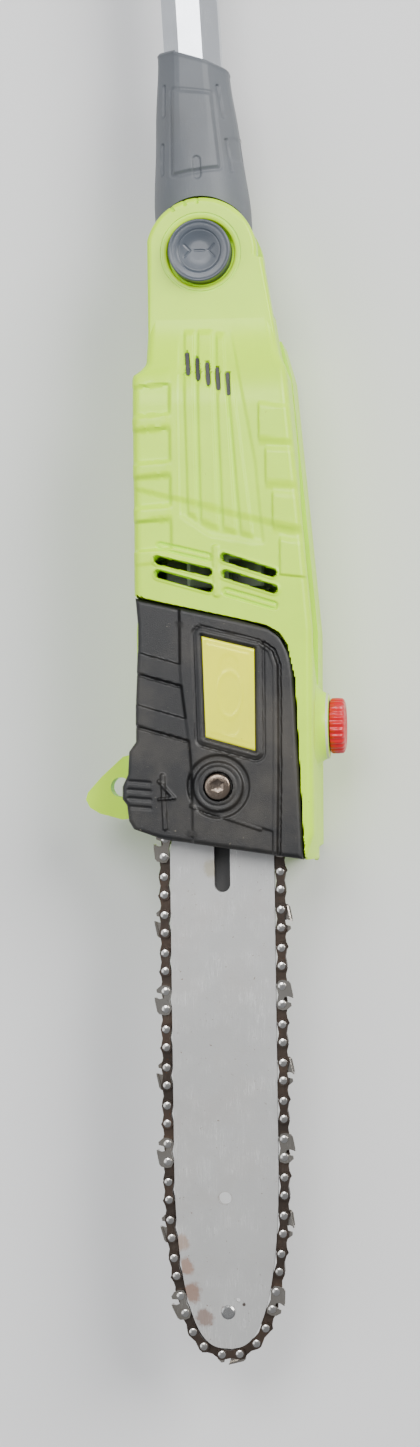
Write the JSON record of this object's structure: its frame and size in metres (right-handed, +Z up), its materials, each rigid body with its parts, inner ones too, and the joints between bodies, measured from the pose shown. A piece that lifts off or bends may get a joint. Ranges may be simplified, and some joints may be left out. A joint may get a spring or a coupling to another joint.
{
  "type": "telescoping pole saw",
  "caption": "Electric telescoping pole saw: tilting saw head with bar and chain, octagonal telescoping pole and looped rear handle.",
  "frame": {"origin": "centre of the tool's footprint on the floor it lies on", "axes": "+Y runs along the tool from the bar's tip to the rear handle, +Z up through the sprocket cover"},
  "size_m": [0.2084, 1.95, 0.0835],
  "materials": {
    "green_shell": "satin moulded",
    "black_cover": "fine textured",
    "grey_collar": "satin moulded",
    "button_grey": "satin moulded",
    "badge": "satin metallic film",
    "red_cap": "gloss moulded",
    "bar_steel": "ground, scratched",
    "chain_steel": "oiled dark steel",
    "steel": "machined",
    "tube_alu": "satin anodised",
    "cast_alu": "die cast",
    "copper": "enamelled wire",
    "lamination": "stacked sheet",
    "carbon": "sintered",
    "fan_plastic": "moulded",
    "tank_plastic": "blow moulded",
    "black_plastic": "fine textured",
    "foam": "closed-cell foam",
    "rubber": "soft moulded"
  },
  "bodies": {
    "base": {"outer_tube": "tube_alu", "clamp_collar": "black_plastic", "clamp_bolt": "steel", "foam_grip": "foam", "strap_eye": "black_plastic", "strap_eye_screw": "steel", "handle_upper_shell": "green_shell", "handle_lower_shell": "green_shell", "handle_screws": "steel", "trigger_pin": "steel", "switch": "black_plastic", "cable_gland": "rubber"},
    "pole": {"inner_tube": "tube_alu", "internal_lead": "rubber", "tube_end_bush": "black_plastic", "collar_upper_shell": "grey_collar", "collar_lower_shell": "grey_collar", "collar_screws": "steel"},
    "rotor": {"motor_shaft": "steel", "commutator": "copper", "armature_core": "lamination", "armature_windings": "copper", "cooling_fan": "fan_plastic", "bevel_pinion": "steel"},
    "spindle": {"spindle": "steel", "bevel_wheel": "steel", "sprocket": "steel", "sprocket_clip": "steel"},
    "button": {"push_button": "button_grey", "lock_ring": "steel", "button_spring": "steel"},
    "cap": {"oil_cap": "red_cap", "cap_seal": "rubber"},
    "lever": {"clamp_lever": "black_plastic"},
    "trigger": {"trigger": "black_plastic", "trigger_spring": "steel"},
    "lock_off": {"lock_off_button": "red_cap"},
    "head": {"housing_motor_side": "green_shell", "housing_bar_side": "green_shell", "housing_screws": "steel", "sprocket_cover": "black_cover", "badge_plate": "badge", "cover_screw": "steel", "clamp_nut": "steel", "bar_pad": "steel", "branch_hook": "green_shell", "guide_bar": "bar_steel", "nose_rivet": "steel", "saw_chain": "chain_steel", "gear_case": "cast_alu", "gear_case_lid": "cast_alu", "motor_bearings": "steel", "stator_core": "lamination", "field_coils": "copper", "brushes": "carbon", "brush_holders": "copper", "oil_tank": "tank_plastic", "oil_pump": "black_plastic", "spindle_bearings": "steel", "pivot_pin": "steel"}
  },
  "joints": [
    {"name": "telescope", "type": "slide", "parent": "base", "child": "pole", "axis": [0.0489, -0.9988, 0], "range_m": [0, 0.7]},
    {"name": "head_tilt", "type": "hinge", "parent": "pole", "child": "head", "pos_m": [0.03598, -0.41957, 0.042], "axis": [0, 0, -1], "range_deg": [0, 30]},
    {"name": "button_press", "type": "slide", "parent": "head", "child": "button", "axis": [0, 0, -1], "range_m": [0, 0.005], "stiffness_N_per_m": 1500, "springref_m": -0.003, "deforming": ["button_spring"]},
    {"name": "motor_spin", "type": "hinge", "parent": "head", "child": "rotor", "pos_m": [0.04198, -0.54957, 0.042], "axis": [0, 1, 0], "continuous": true},
    {"name": "sprocket_spin", "type": "hinge", "parent": "head", "child": "spindle", "pos_m": [0.04198, -0.63157, 0.042], "axis": [0, 0, 1], "continuous": true},
    {"name": "oil_cap_turn", "type": "hinge", "parent": "head", "child": "cap", "pos_m": [0.09598, -0.65747, 0.045], "axis": [1, 0, 0], "range_deg": [0, 90]},
    {"name": "clamp_lever_open", "type": "hinge", "parent": "base", "child": "lever", "pos_m": [0.05194, -0.15547, 0.055], "axis": [0, 0, -1], "range_deg": [0, 110]},
    {"name": "trigger_pull", "type": "hinge", "parent": "base", "child": "trigger", "pos_m": [-0.01473, 0.75035, 0.042], "axis": [0, 0, -1], "range_deg": [0, 7], "stiffness_Nm_per_rad": 2, "springref_deg": -5.73},
    {"name": "lock_off_press", "type": "slide", "parent": "base", "child": "lock_off", "axis": [0, 0, -1], "range_m": [0, 0.004], "stiffness_N_per_m": 800, "springref_m": -0.002}
  ],
  "couplings": [
    {"joint": "sprocket_spin", "follows": "motor_spin", "ratio": 0.25}
  ]
}
